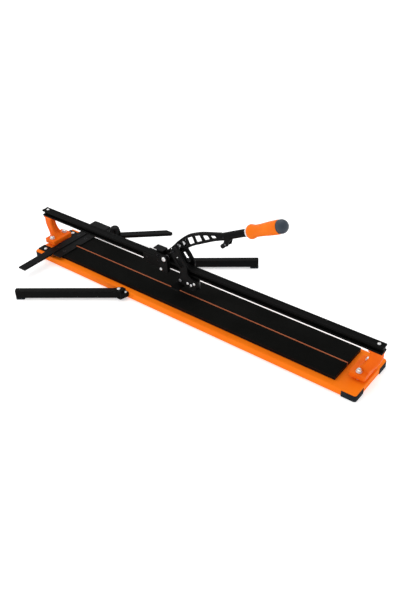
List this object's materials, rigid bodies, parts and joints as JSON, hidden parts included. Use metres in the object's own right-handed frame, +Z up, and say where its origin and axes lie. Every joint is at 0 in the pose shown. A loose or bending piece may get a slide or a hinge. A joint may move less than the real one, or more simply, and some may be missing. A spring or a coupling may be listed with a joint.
{
  "type": "tile cutter",
  "caption": "Manual rail tile cutter: long tray with padded tables, overhead guide rail, sliding carriage with lever handle, scoring wheel and breaker foot, fence and swing-out supports.",
  "frame": {"origin": "on the floor under the middle of the base, which is also the middle of the outline seen from above", "axes": "+X along the rail towards the operator's end, +Y to the back, +Z up"},
  "size_m": [1.39, 0.6556, 0.4367],
  "materials": {
    "orange_paint": "satin powder coat on sheet steel",
    "orange_casting": "powder coat over a die casting",
    "rubber_feet": "matt moulded rubber",
    "black_aluminium": "black anodised extrusion",
    "black_mat": "fine-textured rubber sheet",
    "zinc_bolts": "bright zinc plate",
    "black_bolts": "black oxide",
    "black_steel": "satin black powder coat",
    "black_casting": "black paint over a casting",
    "bright_steel": "turned and polished",
    "spring_steel": "drawn wire",
    "bearing_steel": "polished race",
    "wheel_carbide": "ground carbide",
    "breaker_rubber": "matt rubber",
    "black_plastic": "moulded",
    "laser_glass": "small clear red lens",
    "orange_grip": "soft-touch moulded grip",
    "grey_cap": "slate-grey moulded cap"
  },
  "bodies": {
    "base": {"base_tray": "orange_paint", "corner_feet": "rubber_feet", "table_front": "black_aluminium", "table_rear": "black_aluminium", "table_mat_front": "black_mat", "table_mat_rear": "black_mat", "breaking_bar": "orange_paint", "rail": "black_aluminium", "rail_support_near_operator": "orange_casting", "rail_support_far_end": "orange_casting", "support_bolts": "zinc_bolts", "rail_bolts": "zinc_bolts", "end_plates": "black_steel", "end_plate_screws": "zinc_bolts", "fence_plate": "black_steel", "fence_bar": "black_steel", "fence_screws": "black_bolts", "arm_bracket_front": "black_steel", "arm_bracket_rear": "black_steel", "arm_pivot_bolts": "zinc_bolts", "bracket_top_bolts": "zinc_bolts", "bracket_screws": "black_bolts"},
    "carriage": {"carriage_plate_front": "black_steel", "carriage_plate_rear": "black_steel", "carriage_block_front": "black_casting", "carriage_block_rear": "black_casting", "carriage_bridge": "black_casting", "tie_bolt": "zinc_bolts", "bridge_screw": "black_bolts", "pivot_bolt": "zinc_bolts", "return_springs": "spring_steel", "roller_pins": "black_bolts"},
    "handle": {"handle_arm": "black_casting", "fork_leg_front": "black_casting", "fork_leg_rear": "black_casting", "leg_spacers": "bright_steel", "leg_bolts": "black_bolts", "fork_bolts": "zinc_bolts", "wheel_holder": "black_casting", "wheel_axle": "bright_steel", "breaker_pin": "zinc_bolts", "handle_tube": "black_steel", "tube_screw": "black_bolts", "laser_screw": "zinc_bolts", "ferrule": "bright_steel", "grip": "orange_grip", "grip_cap": "grey_cap", "laser_bracket": "black_steel"},
    "cutting_wheel": {"cutting_wheel": "wheel_carbide"},
    "breaker": {"breaker_foot": "black_steel", "breaker_pads": "breaker_rubber"},
    "laser": {"laser_barrel": "black_plastic", "laser_lens": "laser_glass"},
    "side_stop": {"side_stop": "black_casting"},
    "swing_rule": {"swing_rule": "black_steel"},
    "rule_knob": {"rule_knob": "black_plastic"},
    "support_arm_front": {"support_arm_front": "black_steel", "arm_foot_front": "rubber_feet"},
    "support_arm_rear": {"support_arm_rear": "black_steel", "arm_foot_rear": "rubber_feet"},
    "roller_front_far": {"roller_front_far": "bearing_steel"},
    "roller_rear_far": {"roller_rear_far": "bearing_steel"},
    "roller_front_near": {"roller_front_near": "bearing_steel"},
    "roller_rear_near": {"roller_rear_near": "bearing_steel"}
  },
  "joints": [
    {"name": "carriage_slide", "type": "slide", "parent": "base", "child": "carriage", "axis": [1, 0, 0], "range_m": [-0.515, 0.584]},
    {"name": "handle_pivot", "type": "hinge", "parent": "carriage", "child": "handle", "pos_m": [-0.082, 0, 0.163], "axis": [0, 1, 0], "range_deg": [-5, 18.5], "stiffness_Nm_per_rad": 6, "springref_deg": -14.32},
    {"name": "wheel_spin", "type": "hinge", "parent": "handle", "child": "cutting_wheel", "pos_m": [0.028, 0, 0.084], "axis": [0, 1, 0], "continuous": true},
    {"name": "breaker_tilt", "type": "hinge", "parent": "handle", "child": "breaker", "pos_m": [-0.018, 0, 0.104], "axis": [0, 1, 0], "range_deg": [-20, 20]},
    {"name": "laser_tilt", "type": "hinge", "parent": "handle", "child": "laser", "pos_m": [0.158, 0, 0.295], "axis": [0, 1, 0], "range_deg": [-15, 20]},
    {"name": "side_stop_slide", "type": "slide", "parent": "base", "child": "side_stop", "axis": [0, 1, 0], "range_m": [-0.3, 0.005]},
    {"name": "rule_swing", "type": "hinge", "parent": "side_stop", "child": "swing_rule", "pos_m": [-0.459, 0.123, 0.05], "axis": [0, 0, 1], "range_deg": [-40, 50]},
    {"name": "rule_knob_turn", "type": "hinge", "parent": "side_stop", "child": "rule_knob", "pos_m": [-0.459, 0.123, 0.055], "axis": [0, 0, 1], "range_deg": [0, 360]},
    {"name": "arm_swing_front", "type": "hinge", "parent": "base", "child": "support_arm_front", "pos_m": [-0.222, -0.112, 0.02], "axis": [0, 0, 1], "range_deg": [-35.5, 54.5]},
    {"name": "arm_swing_rear", "type": "hinge", "parent": "base", "child": "support_arm_rear", "pos_m": [-0.234, 0.112, 0.02], "axis": [0, 0, 1], "range_deg": [-35.5, 54.5]},
    {"name": "roller_front_far_spin", "type": "hinge", "parent": "carriage", "child": "roller_front_far", "pos_m": [-0.164, 0, 0.1405], "axis": [0, 1, 0], "continuous": true},
    {"name": "roller_rear_far_spin", "type": "hinge", "parent": "carriage", "child": "roller_rear_far", "pos_m": [-0.164, 0, 0.1405], "axis": [0, 1, 0], "continuous": true},
    {"name": "roller_front_near_spin", "type": "hinge", "parent": "carriage", "child": "roller_front_near", "pos_m": [-0.114, 0, 0.1405], "axis": [0, 1, 0], "continuous": true},
    {"name": "roller_rear_near_spin", "type": "hinge", "parent": "carriage", "child": "roller_rear_near", "pos_m": [-0.114, 0, 0.1405], "axis": [0, 1, 0], "continuous": true}
  ],
  "couplings": [
    {"joint": "roller_front_far_spin", "follows": "carriage_slide", "rad_per_m": 172.41},
    {"joint": "roller_rear_far_spin", "follows": "carriage_slide", "rad_per_m": 172.41},
    {"joint": "roller_front_near_spin", "follows": "carriage_slide", "rad_per_m": 172.41},
    {"joint": "roller_rear_near_spin", "follows": "carriage_slide", "rad_per_m": 172.41}
  ]
}
